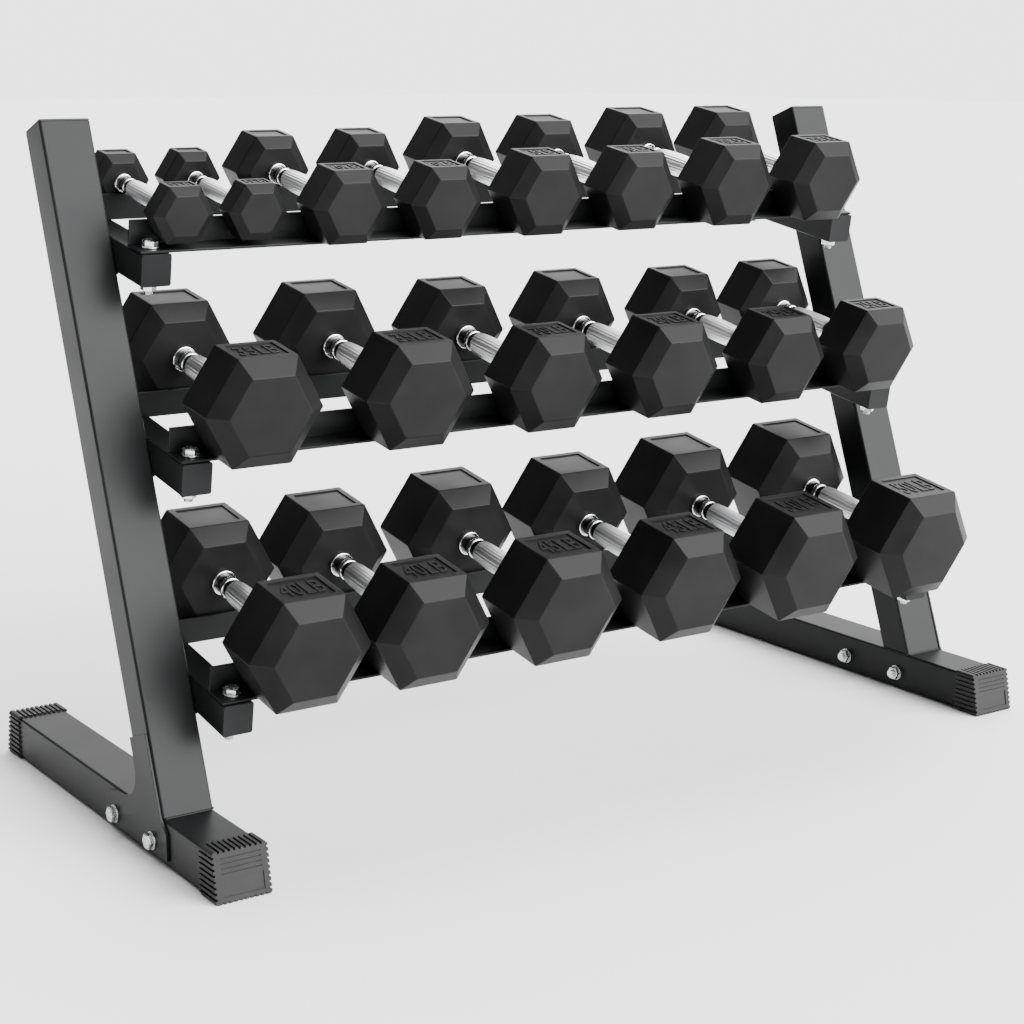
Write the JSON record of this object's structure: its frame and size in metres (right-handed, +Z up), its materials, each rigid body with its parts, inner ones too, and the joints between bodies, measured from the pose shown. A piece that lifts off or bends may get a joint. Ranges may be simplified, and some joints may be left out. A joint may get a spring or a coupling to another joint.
{
  "type": "dumbbell rack",
  "caption": "Three-tier steel dumbbell rack with two leaning uprights on long feet, pairs of angle rails and lift-off hexagonal dumbbells.",
  "frame": {"origin": "centre of the footprint, on the floor", "axes": "+X to the right along the rails, +Y to the rear, +Z up; the front is towards -Y"},
  "size_m": [1.188, 0.583, 0.7831],
  "materials": {
    "black_coat": "satin black powder coat",
    "black_plastic": "matte moulded plastic",
    "zinc": "bright zinc plated steel",
    "rubber_coated_iron": "black rubber coat over iron, with a chromed handle"
  },
  "bodies": {
    "rack": {"arm_bottom_left": "black_coat", "arm_bottom_right": "black_coat", "arm_middle_left": "black_coat", "arm_middle_right": "black_coat", "arm_top_left": "black_coat", "arm_top_right": "black_coat", "foot_bolt_left_front": "zinc", "foot_bolt_left_rear": "zinc", "foot_bolt_right_front": "zinc", "foot_bolt_right_rear": "zinc", "foot_cap_left_front": "black_plastic", "foot_cap_left_rear": "black_plastic", "foot_cap_right_front": "black_plastic", "foot_cap_right_rear": "black_plastic", "foot_left": "black_coat", "foot_right": "black_coat", "gusset_plate_left": "black_coat", "gusset_plate_right": "black_coat", "rail_bolt_bottom_left_front": "zinc", "rail_bolt_bottom_left_rear": "zinc", "rail_bolt_bottom_right_front": "zinc", "rail_bolt_bottom_right_rear": "zinc", "rail_bolt_middle_left_front": "zinc", "rail_bolt_middle_left_rear": "zinc", "rail_bolt_middle_right_front": "zinc", "rail_bolt_middle_right_rear": "zinc", "rail_bolt_top_left_front": "zinc", "rail_bolt_top_left_rear": "zinc", "rail_bolt_top_right_front": "zinc", "rail_bolt_top_right_rear": "zinc", "rail_bottom_front": "black_coat", "rail_bottom_rear": "black_coat", "rail_middle_front": "black_coat", "rail_middle_rear": "black_coat", "rail_top_front": "black_coat", "rail_top_rear": "black_coat", "upright_left": "black_coat", "upright_plug_left": "black_plastic", "upright_plug_right": "black_plastic", "upright_right": "black_coat"},
    "dumbbell_05_lb_a": {"dumbbell_05_lb_a": "rubber_coated_iron"},
    "dumbbell_05_lb_b": {"dumbbell_05_lb_b": "rubber_coated_iron"},
    "dumbbell_10_lb_a": {"dumbbell_10_lb_a": "rubber_coated_iron"},
    "dumbbell_10_lb_b": {"dumbbell_10_lb_b": "rubber_coated_iron"},
    "dumbbell_15_lb_a": {"dumbbell_15_lb_a": "rubber_coated_iron"},
    "dumbbell_15_lb_b": {"dumbbell_15_lb_b": "rubber_coated_iron"},
    "dumbbell_20_lb_a": {"dumbbell_20_lb_a": "rubber_coated_iron"},
    "dumbbell_20_lb_b": {"dumbbell_20_lb_b": "rubber_coated_iron"},
    "dumbbell_25_lb_a": {"dumbbell_25_lb_a": "rubber_coated_iron"},
    "dumbbell_25_lb_b": {"dumbbell_25_lb_b": "rubber_coated_iron"},
    "dumbbell_30_lb_a": {"dumbbell_30_lb_a": "rubber_coated_iron"},
    "dumbbell_30_lb_b": {"dumbbell_30_lb_b": "rubber_coated_iron"},
    "dumbbell_35_lb_a": {"dumbbell_35_lb_a": "rubber_coated_iron"},
    "dumbbell_35_lb_b": {"dumbbell_35_lb_b": "rubber_coated_iron"},
    "dumbbell_40_lb_a": {"dumbbell_40_lb_a": "rubber_coated_iron"},
    "dumbbell_40_lb_b": {"dumbbell_40_lb_b": "rubber_coated_iron"},
    "dumbbell_45_lb_a": {"dumbbell_45_lb_a": "rubber_coated_iron"},
    "dumbbell_45_lb_b": {"dumbbell_45_lb_b": "rubber_coated_iron"},
    "dumbbell_50_lb_a": {"dumbbell_50_lb_a": "rubber_coated_iron"},
    "dumbbell_50_lb_b": {"dumbbell_50_lb_b": "rubber_coated_iron"}
  },
  "joints": [
    {"name": "lift_dumbbell_05_lb_a", "type": "slide", "parent": "rack", "child": "dumbbell_05_lb_a", "axis": [0, -0.1693, 0.9856], "range_m": [0, 0.036]},
    {"name": "lift_dumbbell_05_lb_b", "type": "slide", "parent": "rack", "child": "dumbbell_05_lb_b", "axis": [0, -0.1693, 0.9856], "range_m": [0, 0.036]},
    {"name": "lift_dumbbell_10_lb_a", "type": "slide", "parent": "rack", "child": "dumbbell_10_lb_a", "axis": [0, -0.1693, 0.9856], "range_m": [0, 0.036]},
    {"name": "lift_dumbbell_10_lb_b", "type": "slide", "parent": "rack", "child": "dumbbell_10_lb_b", "axis": [0, -0.1693, 0.9856], "range_m": [0, 0.036]},
    {"name": "lift_dumbbell_15_lb_a", "type": "slide", "parent": "rack", "child": "dumbbell_15_lb_a", "axis": [0, -0.1693, 0.9856], "range_m": [0, 0.036]},
    {"name": "lift_dumbbell_15_lb_b", "type": "slide", "parent": "rack", "child": "dumbbell_15_lb_b", "axis": [0, -0.1693, 0.9856], "range_m": [0, 0.036]},
    {"name": "lift_dumbbell_20_lb_a", "type": "slide", "parent": "rack", "child": "dumbbell_20_lb_a", "axis": [0, -0.1693, 0.9856], "range_m": [0, 0.036]},
    {"name": "lift_dumbbell_20_lb_b", "type": "slide", "parent": "rack", "child": "dumbbell_20_lb_b", "axis": [0, -0.1693, 0.9856], "range_m": [0, 0.036]},
    {"name": "lift_dumbbell_25_lb_a", "type": "slide", "parent": "rack", "child": "dumbbell_25_lb_a", "axis": [0, -0.1693, 0.9856], "range_m": [0, 0.036]},
    {"name": "lift_dumbbell_25_lb_b", "type": "slide", "parent": "rack", "child": "dumbbell_25_lb_b", "axis": [0, -0.1693, 0.9856], "range_m": [0, 0.036]},
    {"name": "lift_dumbbell_30_lb_a", "type": "slide", "parent": "rack", "child": "dumbbell_30_lb_a", "axis": [0, -0.1693, 0.9856], "range_m": [0, 0.036]},
    {"name": "lift_dumbbell_30_lb_b", "type": "slide", "parent": "rack", "child": "dumbbell_30_lb_b", "axis": [0, -0.1693, 0.9856], "range_m": [0, 0.036]},
    {"name": "lift_dumbbell_35_lb_a", "type": "slide", "parent": "rack", "child": "dumbbell_35_lb_a", "axis": [0, -0.1693, 0.9856], "range_m": [0, 0.036]},
    {"name": "lift_dumbbell_35_lb_b", "type": "slide", "parent": "rack", "child": "dumbbell_35_lb_b", "axis": [0, -0.1693, 0.9856], "range_m": [0, 0.036]},
    {"name": "lift_dumbbell_40_lb_a", "type": "slide", "parent": "rack", "child": "dumbbell_40_lb_a", "axis": [0, -0.1693, 0.9856], "range_m": [0, 0.036]},
    {"name": "lift_dumbbell_40_lb_b", "type": "slide", "parent": "rack", "child": "dumbbell_40_lb_b", "axis": [0, -0.1693, 0.9856], "range_m": [0, 0.036]},
    {"name": "lift_dumbbell_45_lb_a", "type": "slide", "parent": "rack", "child": "dumbbell_45_lb_a", "axis": [0, -0.1693, 0.9856], "range_m": [0, 0.036]},
    {"name": "lift_dumbbell_45_lb_b", "type": "slide", "parent": "rack", "child": "dumbbell_45_lb_b", "axis": [0, -0.1693, 0.9856], "range_m": [0, 0.036]},
    {"name": "lift_dumbbell_50_lb_a", "type": "slide", "parent": "rack", "child": "dumbbell_50_lb_a", "axis": [0, -0.1693, 0.9856], "range_m": [0, 0.036]},
    {"name": "lift_dumbbell_50_lb_b", "type": "slide", "parent": "rack", "child": "dumbbell_50_lb_b", "axis": [0, -0.1693, 0.9856], "range_m": [0, 0.036]}
  ]
}
